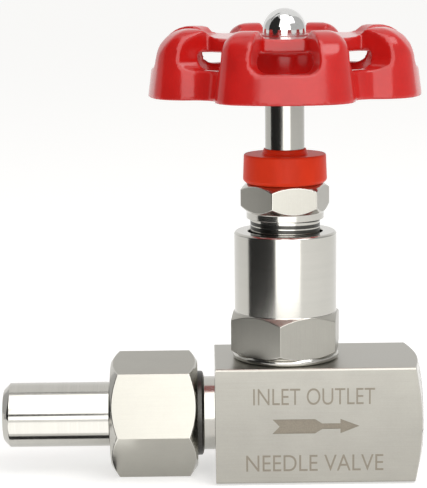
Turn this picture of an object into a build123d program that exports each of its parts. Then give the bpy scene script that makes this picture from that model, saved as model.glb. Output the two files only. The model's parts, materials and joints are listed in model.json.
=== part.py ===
from build123d import *
import math
import os

# Needle valve for instrument lines, cut from square stainless bar: a union inlet with a weld
# nipple, a female outlet, a screwed bonnet with a packing box, and a red cast handwheel.
# Frame: +Z up along the stem, +X towards the outlet, origin on the body's flat underside
# straight below the stem. Millimetres.

# ---- Body, square bar ----
bar_size = 25.0
body_inlet_end = 15.5            # from the stem axis to the bar's inlet end
body_outlet_end = 28.8           # from the stem axis to the bar's outlet end
bar_edge_break = 0.35
outlet_face_radius = 11.2        # flat ring left by the turned chamfer on the outlet end
outlet_chamfer_length = 1.8
flow_bore_radius = 2.3
seat_radius = 2.4
seat_height = 9.0                # above the underside
passage_length = 3.0             # straight drilling under the seat, below the slanted inlet
chamber_radius = 6.3
arrow_length = 18.4
arrow_height = 3.1
arrow_shaft_height = 1.2
arrow_head_length = 4.0
arrow_tail_length = 9.0
arrow_notch = 1.5
arrow_depth = 0.15
arrow_centre = 5.8               # from the stem axis

# ---- Threads, as plain walls at the pitch radius ----
line_thread_radius = 9.513       # M20 x 1.5, pitch line
line_thread_pitch = 1.5
outlet_wall_radius = 9.188       # M20 x 1.5, minor wall of the female outlet
outlet_thread_depth = 14.0
outlet_mouth_chamfer = 1.0
bonnet_thread_radius = 8.513     # M18 x 1.5
bonnet_thread_length = 10.0
stem_thread_radius = 5.594       # M12 x 1.25
gland_thread_radius = 7.675      # M16 x 1
wheel_thread_radius = 2.675      # M6
thread_clearance = 0.05

# ---- Inlet neck, nipple and union nut ----
neck_length = 15.0
neck_relief_length = 2.4
neck_relief_radius = 8.0
neck_bore_radius = 4.0
neck_bore_depth = 20.0
nipple_radius = 7.0
nipple_wall = 2.0
nipple_length = 26.3             # plain tube, from its collar to the free end
nipple_end_land = 0.6            # flat ring left by the weld bevel
nipple_undercut = 0.25           # relief where the union nut runs
nipple_undercut_start = 0.3      # ahead of the nut's face
nipple_collar_radius = 8.7
nipple_collar_length = 3.2
gasket_thickness = 1.5
union_across_flats = 24.0
union_travel_turns = 7.5         # turns that free the nut from the neck
union_lip = 2.9
union_relief_radius = 9.9
union_relief_length = 4.0
union_end_radius = 11.4          # flat ring left by the turned chamfer
union_turn = 21.5                # how far the hexagon is turned at rest, degrees
running_clearance = 0.06

# ---- Bonnet ----
bonnet_collar_radius = 11.5
bonnet_collar_height = 1.5
bonnet_collar_break = 0.45
bonnet_across_flats = 22.4
bonnet_hex_height = 8.9
bonnet_hex_turn = -7.5           # corner nearest the front, degrees from the front
bonnet_barrel_radius = 11.0
bonnet_barrel_height = 17.3
bonnet_gasket_thickness = 1.0
bonnet_gasket_width = 1.8
hex_chamfer_angle = 36.0
small_break = 0.4

# ---- Stem and needle ----
stem_radius = 4.2
stem_foot_radius = 5.0
stem_thread_length = 10.2
lift = 5.0                       # full stroke
backseat_gap = 0.3
drive_square = 5.9
needle_head_radius = 3.6
needle_head_height = 1.8
needle_half_angle = 30.0
needle_point_radius = 0.7
needle_shank_radius = 1.95
needle_shank_length = 7.5
needle_groove_depth = 0.45
snap_ring_radius = 2.45
snap_ring_height = 0.9
snap_ring_drop = 4.2             # from the stem's foot up to the ring
seat_gap = 0.05

# ---- Packing box ----
packing_radius = 6.5
packing_floor_wall = 1.2         # metal between the back seat and the packing box
base_washer_height = 1.0
packing_ring_height = 2.8
packing_ring_names = ("packing_ring_lower", "packing_ring_middle", "packing_ring_upper")
packing_gap = 0.05
follower_flange_radius = 7.4
follower_flange_height = 1.6
gland_travel = 1.5               # squeeze left in the packing
gland_reserve = 0.3              # follower's flange above its step when fully tightened

# ---- Packing nut and its cap ----
gland_thread_showing = 2.8
gland_across_flats = 17.0
gland_hex_height = 6.2
gland_hex_turn = -18.8
gland_collar_radius = 8.3
gland_collar_height = 1.4
gland_spigot_radius = 6.0
gland_spigot_height = 2.8
cap_radius = 9.0
cap_top_radius = 8.8
cap_height = 6.2
cap_chamfer = 0.7
cap_boss_radius = 4.9
cap_boss_top_radius = 4.55
cap_boss_height = 1.1
cap_stem_clearance = 0.1

# ---- Handwheel ----
stem_showing = 11.5              # from the cap's boss to the wheel's lower rim
wheel_radius = 29.0
wheel_valley_depth = 8.78        # rim down to the sharp corner between two lobes
wheel_lobe_corner = 7.5
wheel_valley_corner = 5.0
wheel_top_corner = 5.0           # rounding along the lobes' upper edge
wheel_height = 14.4              # lower rim to the crest of the fingers
wheel_skirt_height = 6.1
wheel_wall = 3.0
wheel_finger_depth = 4.7
wheel_side_draft = 1.1           # side's lean up to the shoulder
wheel_flank_draft = 1.8          # lobes' lean inward over the wheel's height
wheel_shoulder_drop = 6.0
wheel_crest_inset = 8.6          # rim in to the crest of the fingers
wheel_plate_drop = 1.85          # top plate below the crest
wheel_plate_thickness = 2.95
wheel_plate_inset = 11.2         # rim in to the plate's flat edge in each window
wheel_crest_run = 2.6            # from the crest in to the flat of the plate
wheel_slot_half_width = 4.5
wheel_slot_flare = 0.27
wheel_slot_corner = 2.4
wheel_window_count = 8
wheel_turn = -2.3
hub_radius = 8.2
hub_drop = 1.4                   # hub below the lower rim
hub_recess_radius = 6.7
flat_washer_radius = 6.0
flat_washer_height = 1.0
spring_washer_radius = 5.2
spring_washer_height = 1.4
spring_washer_gap = 1.2
acorn_across_flats = 10.0
acorn_hex_height = 5.0
acorn_dome_radius = 4.6
acorn_dome_height = 7.0
acorn_sink = 1.25                # hexagon's top below the plate
acorn_roof = 2.2

# ---- Levels and stations worked out from the sizes above ----
flow_height = bar_size / 2
body_top = bar_size
neck_end = -(body_inlet_end + neck_length)
collar_face = neck_end - gasket_thickness
collar_back = collar_face - nipple_collar_length
nipple_end = collar_back - nipple_length
nipple_bore_radius = nipple_radius - nipple_wall
nipple_end_chamfer = nipple_wall - nipple_end_land
union_left = collar_back - union_lip
nipple_wall_end = union_left - nipple_undercut_start
union_travel = union_travel_turns * line_thread_pitch
union_right = neck_end + union_travel

bonnet_foot = body_top - bonnet_thread_length
gasket_step = bonnet_foot - bonnet_gasket_thickness
bonnet_hex_base = body_top + bonnet_collar_height
bonnet_hex_top = bonnet_hex_base + bonnet_hex_height
bonnet_top = bonnet_hex_top + bonnet_barrel_height

needle_slope = math.tan(math.radians(needle_half_angle))
cone_top = seat_height + seat_gap + (needle_head_radius - seat_radius) / needle_slope
cone_point = cone_top - (needle_head_radius - needle_point_radius) / needle_slope
stem_foot = cone_top + needle_head_height
stem_thread_base = bonnet_foot + small_break
stem_thread_top = stem_thread_base + stem_thread_length
stem_neck_cone = stem_thread_radius - stem_radius
backseat_top = stem_thread_top + stem_neck_cone + lift + backseat_gap + small_break
packing_floor = backseat_top + packing_floor_wall
rings_base = packing_floor + base_washer_height
rings_top = rings_base + packing_ring_height * len(packing_ring_names)
gland_step = rings_top + small_break / 4
flange_base = rings_top + gland_travel + gland_reserve
follower_top = flange_base + follower_flange_height

gland_collar_base = bonnet_top + gland_thread_showing
gland_hex_base = gland_collar_base + gland_collar_height
gland_hex_top = gland_hex_base + gland_hex_height
cap_top = gland_hex_top + cap_height
cap_boss_top = cap_top + cap_boss_height

wheel_base = cap_boss_top + stem_showing
wheel_lobe_width = (wheel_radius - wheel_valley_depth) * math.sqrt(2)
wheel_shoulder_radius = wheel_radius - wheel_side_draft
wheel_crest_radius = wheel_radius - wheel_crest_inset
wheel_plate_radius = wheel_radius - wheel_plate_inset
wheel_sill = wheel_base + wheel_skirt_height
wheel_crest = wheel_base + wheel_height
wheel_plate_top = wheel_crest - wheel_plate_drop
wheel_plate_base = wheel_plate_top - wheel_plate_thickness
hub_base = wheel_base - hub_drop
acorn_hex_top = wheel_plate_top - acorn_sink
acorn_base = acorn_hex_top - acorn_hex_height
spring_washer_base = acorn_base - spring_washer_height
flat_washer_base = spring_washer_base - flat_washer_height
acorn_top = acorn_hex_top + acorn_dome_height
stem_top = acorn_top - acorn_roof - small_break

flow_plane = Plane(origin=(0, 0, flow_height), x_dir=(1, 0, 0), z_dir=(0, -1, 0))
flow_axis = Axis((0, 0, flow_height), (1, 0, 0))
chamfer_slope = math.tan(math.radians(hex_chamfer_angle))
rim_tolerance = 0.01


def outline(plane, *points):
    """Closed straight-sided profile on a plane, ready to be turned or extruded."""
    with BuildSketch(plane) as profile:
        with BuildLine():
            Polyline(*points, close=True)
        make_face()
    return profile.sketch


def hexagon(plane, across_flats, turn=0.0):
    """Hexagon by its size across flats, with a corner at the given turn from local x."""
    with BuildSketch(plane) as profile:
        RegularPolygon(radius=across_flats / 2, side_count=6, major_radius=False, rotation=turn)
    return profile.sketch


def corner_radius(across_flats):
    return across_flats / math.sqrt(3)


def engraved_arrow():
    """Flow arrow on the front face: notched tail, thin shaft, pointed head."""
    tail = arrow_centre - arrow_length / 2
    tip = arrow_centre + arrow_length / 2
    shoulder = tail + arrow_tail_length
    neck = shoulder + arrow_notch
    head = tip - arrow_head_length
    half, shaft = arrow_height / 2, arrow_shaft_height / 2
    front = Plane(origin=(0, -bar_size / 2, flow_height), x_dir=(1, 0, 0), z_dir=(0, -1, 0))
    upper = [(tail, half), (shoulder, half), (neck, shaft), (head, shaft), (head, half), (tip, 0)]
    lower = [(x, -y) for x, y in reversed(upper[:-1])]
    return outline(front, *upper, *lower, (tail + arrow_notch, 0))


# Square bar with a turned outlet end and the inlet neck.
with BuildPart() as valve_body:
    with BuildSketch(Plane.YZ.offset(-body_inlet_end)):
        with Locations((0, flow_height)):
            Rectangle(bar_size, bar_size)
    extrude(amount=body_inlet_end + body_outlet_end)
    chamfer(valve_body.edges().filter_by(Axis.X), bar_edge_break)
    bar_corner = bar_size / math.sqrt(2)
    turned = outline(
        flow_plane,
        (-body_inlet_end, 0), (-body_inlet_end, bar_corner),
        (body_outlet_end - outlet_chamfer_length, bar_corner),
        (body_outlet_end, outlet_face_radius), (body_outlet_end, 0),
    )
    revolve(turned, axis=flow_axis, mode=Mode.INTERSECT)
    relief_end = -body_inlet_end - neck_relief_length
    thread_end = relief_end - small_break
    neck = outline(
        flow_plane,
        (-body_inlet_end, 0), (-body_inlet_end, neck_relief_radius),
        (relief_end, neck_relief_radius), (thread_end, line_thread_radius),
        (neck_end + small_break, line_thread_radius), (neck_end, line_thread_radius - small_break),
        (neck_end, 0),
    )
    revolve(neck, axis=flow_axis)
    neck_bore = outline(
        flow_plane,
        (neck_end, 0), (neck_end, neck_bore_radius),
        (neck_end + neck_bore_depth, neck_bore_radius), (neck_end + neck_bore_depth, 0),
    )
    revolve(neck_bore, axis=flow_axis, mode=Mode.SUBTRACT)
    outlet_floor = body_outlet_end - outlet_thread_depth
    mouth = outlet_wall_radius + outlet_mouth_chamfer
    outlet_hole = outline(
        flow_plane,
        (body_outlet_end, 0), (body_outlet_end, mouth),
        (body_outlet_end - outlet_mouth_chamfer, outlet_wall_radius),
        (outlet_floor, outlet_wall_radius), (outlet_floor, 0),
    )
    revolve(outlet_hole, axis=flow_axis, mode=Mode.SUBTRACT)
    bonnet_hole = outline(
        Plane.XZ,
        (0, body_top), (bonnet_thread_radius + thread_clearance, body_top),
        (bonnet_thread_radius + thread_clearance, gasket_step), (chamber_radius, gasket_step),
        (chamber_radius, seat_height), (seat_radius, seat_height),
        (seat_radius, seat_height - passage_length), (0, seat_height - passage_length),
    )
    revolve(bonnet_hole, axis=Axis.Z, mode=Mode.SUBTRACT)
    inlet_start = Vector(neck_end + neck_bore_depth - seat_radius, 0, flow_height)
    inlet_finish = Vector(0, 0, seat_height - passage_length)
    slant = inlet_finish - inlet_start
    with BuildSketch(Plane(origin=inlet_start, z_dir=slant)):
        Circle(flow_bore_radius)
    extrude(amount=slant.length, mode=Mode.SUBTRACT)
    outlet_level = seat_height + flow_bore_radius + small_break / 2
    with BuildSketch(Plane.YZ):
        with Locations((0, outlet_level)):
            Circle(flow_bore_radius)
    extrude(amount=outlet_floor, mode=Mode.SUBTRACT)
    extrude(engraved_arrow(), amount=-arrow_depth, mode=Mode.SUBTRACT)
valve_body.part.label = "valve_body"

with BuildPart() as bonnet_gasket:
    gasket_inner = bonnet_thread_radius - bonnet_gasket_width
    with BuildSketch(Plane.XY.offset(gasket_step)):
        Circle(bonnet_thread_radius)
        Circle(gasket_inner, mode=Mode.SUBTRACT)
    extrude(amount=bonnet_gasket_thickness)
bonnet_gasket.part.label = "bonnet_gasket"

# Bonnet: threaded spigot, collar, hexagon and barrel, bored for the stem and the packing.
with BuildPart() as bonnet:
    extrude(
        hexagon(Plane.XY.offset(bonnet_hex_base), bonnet_across_flats, bonnet_hex_turn - 90),
        amount=bonnet_hex_height,
    )
    bonnet_corner = corner_radius(bonnet_across_flats)
    hex_fall = (bonnet_corner - bonnet_barrel_radius) * chamfer_slope
    foot_fall = (bonnet_corner - bonnet_collar_radius) * chamfer_slope
    bonnet_turned = outline(
        Plane.XZ,
        (0, bonnet_hex_base), (bonnet_collar_radius, bonnet_hex_base),
        (bonnet_corner, bonnet_hex_base + foot_fall), (bonnet_corner, bonnet_hex_top - hex_fall),
        (bonnet_barrel_radius, bonnet_hex_top), (0, bonnet_hex_top),
    )
    revolve(bonnet_turned, axis=Axis.Z, mode=Mode.INTERSECT)
    bonnet_spindle = outline(
        Plane.XZ,
        (0, bonnet_foot), (bonnet_thread_radius - small_break, bonnet_foot),
        (bonnet_thread_radius, bonnet_foot + small_break), (bonnet_thread_radius, body_top),
        (bonnet_collar_radius - bonnet_collar_break, body_top),
        (bonnet_collar_radius, body_top + bonnet_collar_break),
        (bonnet_collar_radius, bonnet_hex_base - bonnet_collar_break),
        (bonnet_collar_radius - bonnet_collar_break, bonnet_hex_base),
        (bonnet_barrel_radius, bonnet_hex_base), (bonnet_barrel_radius, bonnet_top - small_break),
        (bonnet_barrel_radius - small_break, bonnet_top), (0, bonnet_top),
    )
    revolve(bonnet_spindle, axis=Axis.Z)
    stem_hole = stem_radius + running_clearance
    thread_hole = stem_thread_radius + thread_clearance
    relief = thread_hole + small_break
    box_hole = packing_radius + packing_gap
    gland_hole = gland_thread_radius + thread_clearance
    bonnet_bore = outline(
        Plane.XZ,
        (0, bonnet_foot), (relief, bonnet_foot), (thread_hole, bonnet_foot + small_break),
        (thread_hole, stem_thread_top - small_break), (relief, stem_thread_top),
        (relief, backseat_top - (relief - stem_hole)), (stem_hole, backseat_top),
        (stem_hole, packing_floor), (box_hole, packing_floor), (box_hole, gland_step),
        (gland_hole, gland_step), (gland_hole, bonnet_top - small_break),
        (gland_hole + small_break, bonnet_top), (0, bonnet_top),
    )
    revolve(bonnet_bore, axis=Axis.Z, mode=Mode.SUBTRACT)
bonnet.part.label = "bonnet"

# Separate hardened point, held in the stem's foot so that it does not turn on the seat.
shank_top = stem_foot + needle_shank_length
ring_base = stem_foot + snap_ring_drop
ring_top = ring_base + snap_ring_height
groove_bottom = needle_shank_radius - needle_groove_depth
with BuildPart() as needle_tip:
    point = outline(
        Plane.XZ,
        (0, cone_point), (needle_point_radius, cone_point), (needle_head_radius, cone_top),
        (needle_head_radius, stem_foot), (needle_shank_radius, stem_foot),
        (needle_shank_radius, ring_base), (groove_bottom, ring_base), (groove_bottom, ring_top),
        (needle_shank_radius, ring_top), (needle_shank_radius, shank_top), (0, shank_top),
    )
    revolve(point, axis=Axis.Z)
needle_tip.part.label = "needle_tip"

with BuildPart() as needle_snap_ring:
    with BuildSketch(Plane.XY.offset(ring_base)):
        Circle(snap_ring_radius)
        Circle(groove_bottom, mode=Mode.SUBTRACT)
        with Locations((snap_ring_radius, 0)):
            Rectangle(snap_ring_radius, groove_bottom, mode=Mode.SUBTRACT)
    extrude(amount=snap_ring_height)
needle_snap_ring.part.label = "needle_snap_ring"

# Stem: foot with the needle's socket, thread, polished shaft, square and top thread.
with BuildPart() as stem:
    foot_hole = needle_shank_radius + running_clearance
    ring_hole = snap_ring_radius + running_clearance
    socket_top = shank_top + small_break
    shaft = outline(
        Plane.XZ,
        (foot_hole, stem_foot), (stem_foot_radius, stem_foot),
        (stem_foot_radius, stem_thread_base), (stem_thread_radius, stem_thread_base + small_break),
        (stem_thread_radius, stem_thread_top), (stem_radius, stem_thread_top + stem_neck_cone),
        (stem_radius, hub_base), (0, hub_base), (0, socket_top), (foot_hole, socket_top),
        (foot_hole, ring_top + running_clearance), (ring_hole, ring_top + running_clearance),
        (ring_hole, ring_base - running_clearance), (foot_hole, ring_base - running_clearance),
    )
    revolve(shaft, axis=Axis.Z)
    with BuildSketch(Plane.XY.offset(hub_base)):
        Rectangle(drive_square, drive_square, rotation=wheel_turn)
    extrude(amount=flat_washer_base - hub_base)
    with BuildSketch(Plane.XY.offset(hub_base)):
        Circle(wheel_thread_radius)
    extrude(amount=stem_top - hub_base)
stem.part.label = "stem"

with BuildPart() as packing_base_washer:
    with BuildSketch(Plane.XY.offset(packing_floor)):
        Circle(packing_radius)
        Circle(stem_radius + 2 * packing_gap, mode=Mode.SUBTRACT)
    extrude(amount=base_washer_height)
packing_base_washer.part.label = "packing_base_washer"

packing_rings = []
for place, ring_name in enumerate(packing_ring_names):
    with BuildPart() as packing_ring:
        with BuildSketch(Plane.XY.offset(rings_base + place * packing_ring_height)):
            Circle(packing_radius)
            Circle(stem_radius + packing_gap, mode=Mode.SUBTRACT)
        extrude(amount=packing_ring_height)
    packing_ring.part.label = ring_name
    packing_rings.append(packing_ring)

with BuildPart() as gland_follower:
    follower_hole = stem_radius + 2 * packing_gap
    follower = outline(
        Plane.XZ,
        (follower_hole, rings_top), (packing_radius, rings_top), (packing_radius, flange_base),
        (follower_flange_radius, flange_base), (follower_flange_radius, follower_top),
        (follower_hole, follower_top),
    )
    revolve(follower, axis=Axis.Z)
gland_follower.part.label = "gland_follower"

# Packing nut: chamfered hexagon, round collar, male thread, spigot for the cap.
with BuildPart() as packing_nut:
    extrude(
        hexagon(Plane.XY.offset(gland_hex_base), gland_across_flats, gland_hex_turn - 90),
        amount=gland_hex_height,
    )
    gland_corner = corner_radius(gland_across_flats)
    gland_fall = (gland_corner - gland_across_flats / 2 + small_break) * chamfer_slope
    gland_foot_fall = gland_corner - gland_collar_radius
    gland_face = gland_across_flats / 2 - small_break
    gland_turned = outline(
        Plane.XZ,
        (0, gland_hex_base), (gland_collar_radius, gland_hex_base),
        (gland_corner, gland_hex_base + gland_foot_fall), (gland_corner, gland_hex_top - gland_fall),
        (gland_face, gland_hex_top), (0, gland_hex_top),
    )
    revolve(gland_turned, axis=Axis.Z, mode=Mode.INTERSECT)
    gland_bore = stem_radius + 4 * packing_gap
    gland_spindle = outline(
        Plane.XZ,
        (0, follower_top), (gland_thread_radius - small_break, follower_top),
        (gland_thread_radius, follower_top + small_break),
        (gland_thread_radius, gland_collar_base), (gland_collar_radius, gland_collar_base),
        (gland_collar_radius, gland_hex_base), (gland_spigot_radius, gland_hex_base),
        (gland_spigot_radius, gland_hex_top + gland_spigot_height),
        (0, gland_hex_top + gland_spigot_height),
    )
    revolve(gland_spindle, axis=Axis.Z)
    with BuildSketch(Plane.XY.offset(follower_top)):
        Circle(gland_bore)
    extrude(amount=gland_hex_top + gland_spigot_height - follower_top, mode=Mode.SUBTRACT)
packing_nut.part.label = "packing_nut"

# Red plastic cap pressed over the spigot, with a boss that wipes the stem.
with BuildPart() as packing_nut_cap:
    cap_bore = stem_radius + cap_stem_clearance
    spigot_top = gland_hex_top + gland_spigot_height
    cap = outline(
        Plane.XZ,
        (gland_spigot_radius, gland_hex_top), (cap_radius - cap_chamfer, gland_hex_top),
        (cap_radius, gland_hex_top + cap_chamfer), (cap_top_radius, cap_top - small_break / 2),
        (cap_top_radius - small_break / 2, cap_top), (cap_boss_radius, cap_top),
        (cap_boss_top_radius, cap_boss_top), (cap_bore, cap_boss_top), (cap_bore, spigot_top),
        (gland_spigot_radius, spigot_top),
    )
    revolve(cap, axis=Axis.Z)
packing_nut_cap.part.label = "packing_nut_cap"


def lobed_sketch(plane, inset):
    """Four-lobed outline of the wheel: two crossing bars inside a circle, all rounded."""
    radius = wheel_radius - inset
    width = wheel_lobe_width - 2 * inset
    with BuildSketch(plane) as lobes:
        Rectangle(2 * radius, width, rotation=wheel_turn)
        Rectangle(2 * radius, width, rotation=wheel_turn + 90)
        Circle(radius, mode=Mode.INTERSECT)
        fillet(lobes.vertices().sort_by_distance((0, 0, 0))[:4], wheel_valley_corner + inset)
        rim_corners = [v for v in lobes.vertices() if math.hypot(v.X, v.Y) > radius - rim_tolerance]
        fillet(rim_corners, wheel_lobe_corner - inset)
    return lobes.sketch


def wheel_section(inset, top, lower, dish):
    """Half section of the wheel: side, shoulder, rounded crest, then a dish or a flat top."""
    side = wheel_radius - inset
    shoulder = (wheel_shoulder_radius - inset, top - wheel_shoulder_drop + inset / 2)
    crest = (wheel_crest_radius - inset, top)
    with BuildSketch(Plane.XZ) as section:
        with BuildLine():
            side_line = Line((side, lower), shoulder)
            TangentArc(shoulder, crest, tangent=side_line % 1)
            if dish:
                plate_edge = (wheel_crest_radius - wheel_crest_run, wheel_plate_top)
                TangentArc(crest, plate_edge, tangent=(-1, 0))
                Polyline(plate_edge, (0, wheel_plate_top), (0, lower), (side, lower))
            else:
                Polyline(crest, (0, top), (0, lower), (side, lower))
        make_face()
    return section.sketch


# Hollow under the handwheel.
with BuildPart() as wheel_cavity:
    cavity_base = wheel_base - hub_drop
    cavity_draft = wheel_flank_draft * (wheel_plate_base - wheel_base) / wheel_height
    cavity_foot = lobed_sketch(Plane.XY.offset(cavity_base), wheel_wall)
    cavity_top = lobed_sketch(Plane.XY.offset(wheel_plate_base), wheel_wall + cavity_draft)
    loft([cavity_foot, cavity_top], ruled=True)
    cavity_section = wheel_section(wheel_finger_depth, wheel_plate_base, cavity_base, dish=False)
    revolve(cavity_section, axis=Axis.Z, mode=Mode.INTERSECT)

# One window between two fingers, open to the top and the outside.
with BuildPart() as wheel_slot:
    slot_outer = wheel_radius + wheel_wall
    slot_outer_width = wheel_slot_half_width + wheel_slot_flare * (slot_outer - wheel_plate_radius)
    slot = outline(
        Plane.XY.offset(wheel_sill),
        (wheel_plate_radius, -wheel_slot_half_width), (slot_outer, -slot_outer_width),
        (slot_outer, slot_outer_width), (wheel_plate_radius, wheel_slot_half_width),
    )
    extrude(slot, amount=wheel_height)
    sill_edges = wheel_slot.faces().sort_by(Axis.Z)[0].edges()
    fillet([e for e in sill_edges if abs(e.center().Y) > small_break], wheel_slot_corner)

# Handwheel: lobed skirt, fingers over the windows, top plate and hub.
with BuildPart() as handwheel:
    wheel_foot = lobed_sketch(Plane.XY.offset(wheel_base), 0)
    wheel_head = lobed_sketch(Plane.XY.offset(wheel_crest), wheel_flank_draft)
    loft([wheel_foot, wheel_head], ruled=True)
    fillet(handwheel.edges().group_by(Axis.Z)[-1], wheel_top_corner)
    outer_section = wheel_section(0, wheel_crest, wheel_base, dish=True)
    revolve(outer_section, axis=Axis.Z, mode=Mode.INTERSECT)
    add(wheel_cavity.part, mode=Mode.SUBTRACT)
    with BuildSketch(Plane.XY.offset(hub_base)):
        Circle(hub_radius)
    extrude(amount=wheel_plate_base + small_break - hub_base)
    for window in range(wheel_window_count):
        turned_slot = wheel_slot.part.rotate(Axis.Z, wheel_turn + window * 360 / wheel_window_count)
        add(turned_slot, mode=Mode.SUBTRACT)
    with BuildSketch(Plane.XY.offset(flat_washer_base)):
        Circle(hub_recess_radius)
    extrude(amount=wheel_height, mode=Mode.SUBTRACT)
    with BuildSketch(Plane.XY.offset(hub_base)):
        drive_hole = drive_square + 2 * thread_clearance
        Rectangle(drive_hole, drive_hole, rotation=wheel_turn)
    extrude(amount=flat_washer_base - hub_base, mode=Mode.SUBTRACT)
handwheel.part.label = "handwheel"

washer_hole = wheel_thread_radius + running_clearance
with BuildPart() as wheel_flat_washer:
    with BuildSketch(Plane.XY.offset(flat_washer_base)):
        Circle(flat_washer_radius)
        Circle(washer_hole, mode=Mode.SUBTRACT)
    extrude(amount=flat_washer_height)
wheel_flat_washer.part.label = "wheel_flat_washer"

with BuildPart() as wheel_spring_washer:
    with BuildSketch(Plane.XY.offset(spring_washer_base)):
        Circle(spring_washer_radius)
        Circle(washer_hole, mode=Mode.SUBTRACT)
        with Locations((spring_washer_radius, 0)):
            Rectangle(spring_washer_radius, spring_washer_gap, mode=Mode.SUBTRACT)
    extrude(amount=spring_washer_height)
wheel_spring_washer.part.label = "wheel_spring_washer"

with BuildPart() as acorn_nut:
    extrude(
        hexagon(Plane.XY.offset(acorn_base), acorn_across_flats, wheel_turn),
        amount=acorn_hex_height,
    )
    acorn_corner = corner_radius(acorn_across_flats)
    acorn_face = acorn_across_flats / 2
    acorn_fall = (acorn_corner - acorn_face) * chamfer_slope
    acorn_turned = outline(
        Plane.XZ,
        (0, acorn_base), (acorn_face, acorn_base), (acorn_corner, acorn_base + acorn_fall),
        (acorn_corner, acorn_hex_top - acorn_fall), (acorn_face, acorn_hex_top),
        (0, acorn_hex_top),
    )
    revolve(acorn_turned, axis=Axis.Z, mode=Mode.INTERSECT)
    with BuildSketch(Plane.XZ):
        with BuildLine():
            dome_spring = (acorn_dome_radius, acorn_top - acorn_dome_radius)
            Line((acorn_dome_radius, acorn_hex_top), dome_spring)
            CenterArc((0, acorn_top - acorn_dome_radius), acorn_dome_radius, 0, 90)
            Polyline((0, acorn_top), (0, acorn_hex_top), (acorn_dome_radius, acorn_hex_top))
        make_face()
    revolve(axis=Axis.Z)
    with BuildSketch(Plane.XY.offset(acorn_base)):
        Circle(wheel_thread_radius + thread_clearance)
    extrude(amount=acorn_top - acorn_roof - acorn_base, mode=Mode.SUBTRACT)
acorn_nut.part.label = "acorn_nut"

# Weld nipple: plain tube with a collar that the union nut pulls against the neck.
with BuildPart() as weld_nipple:
    tube_wall_end = nipple_radius - nipple_end_chamfer
    undercut_radius = nipple_radius - nipple_undercut
    tube = outline(
        flow_plane,
        (nipple_end, nipple_bore_radius), (nipple_end, tube_wall_end),
        (nipple_end + nipple_end_chamfer, nipple_radius), (nipple_wall_end, nipple_radius),
        (nipple_wall_end, undercut_radius), (collar_back, undercut_radius),
        (collar_back, nipple_collar_radius), (collar_face, nipple_collar_radius),
        (collar_face, nipple_bore_radius),
    )
    revolve(tube, axis=flow_axis)
weld_nipple.part.label = "weld_nipple"

with BuildPart() as nipple_gasket:
    ring = outline(
        flow_plane,
        (collar_face, nipple_bore_radius), (collar_face, nipple_collar_radius),
        (neck_end, nipple_collar_radius), (neck_end, nipple_bore_radius),
    )
    revolve(ring, axis=flow_axis)
nipple_gasket.part.label = "nipple_gasket"

# Union nut: hexagon chamfered at both ends, lip behind the nipple's collar, female thread.
with BuildPart() as union_nut:
    nut_plane = Plane(origin=(union_left, 0, flow_height), x_dir=(0, 1, 0), z_dir=(1, 0, 0))
    extrude(hexagon(nut_plane, union_across_flats, 30 - union_turn), amount=union_right - union_left)
    union_corner = corner_radius(union_across_flats)
    union_fall = (union_corner - union_end_radius) * chamfer_slope
    union_turned = outline(
        flow_plane,
        (union_left, 0), (union_left, union_end_radius), (union_left + union_fall, union_corner),
        (union_right - union_fall, union_corner), (union_right, union_end_radius),
        (union_right, 0),
    )
    revolve(union_turned, axis=flow_axis, mode=Mode.INTERSECT)
    lip_hole = nipple_radius + running_clearance
    nut_thread_hole = line_thread_radius + thread_clearance
    relief_right = collar_back + union_relief_length
    union_bore = outline(
        flow_plane,
        (union_left, 0), (union_left, lip_hole), (collar_back, lip_hole),
        (collar_back, union_relief_radius), (relief_right, union_relief_radius),
        (relief_right, nut_thread_hole), (union_right - small_break, nut_thread_hole),
        (union_right, nut_thread_hole + small_break), (union_right, 0),
    )
    revolve(union_bore, axis=flow_axis, mode=Mode.SUBTRACT)
union_nut.part.label = "union_nut"

pieces = [
    valve_body, bonnet_gasket, bonnet, needle_tip, needle_snap_ring, stem, packing_base_washer,
    *packing_rings, gland_follower, packing_nut, packing_nut_cap, handwheel, wheel_flat_washer,
    wheel_spring_washer, acorn_nut, weld_nipple, nipple_gasket, union_nut,
]
os.makedirs("parts", exist_ok=True)
for piece in pieces:
    export_step(piece.part, f"parts/{piece.part.label}.step")
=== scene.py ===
"""Needle valve for instrument lines: its visible model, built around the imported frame. Metres."""

import json
import math

import bmesh
import bpy
import numpy as np
from mathutils import Matrix, Vector


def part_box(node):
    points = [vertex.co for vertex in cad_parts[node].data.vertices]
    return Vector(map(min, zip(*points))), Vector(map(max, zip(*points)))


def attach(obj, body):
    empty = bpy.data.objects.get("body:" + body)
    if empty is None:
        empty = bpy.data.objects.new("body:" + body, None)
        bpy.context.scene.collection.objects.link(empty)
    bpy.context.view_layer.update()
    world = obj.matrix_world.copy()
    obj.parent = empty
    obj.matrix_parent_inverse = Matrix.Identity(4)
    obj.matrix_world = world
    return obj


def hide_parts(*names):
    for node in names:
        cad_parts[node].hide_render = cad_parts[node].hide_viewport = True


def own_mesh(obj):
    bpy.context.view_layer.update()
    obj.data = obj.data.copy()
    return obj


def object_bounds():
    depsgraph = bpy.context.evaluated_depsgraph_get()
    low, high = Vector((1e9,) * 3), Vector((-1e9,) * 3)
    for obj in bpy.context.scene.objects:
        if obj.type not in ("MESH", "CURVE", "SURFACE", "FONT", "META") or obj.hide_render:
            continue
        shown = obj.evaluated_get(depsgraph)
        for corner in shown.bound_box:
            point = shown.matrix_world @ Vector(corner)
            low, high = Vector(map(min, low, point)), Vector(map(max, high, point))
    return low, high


bl_info = {
    "name": "Needle Valve",
    "version": (1, 0, 0),
    "blender": (4, 5, 0),
    "location": "View3D > Sidebar > Valve",
    "description": "Builds a stainless needle valve with a union inlet and a red cast handwheel",
    "category": "Object",
}

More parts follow.
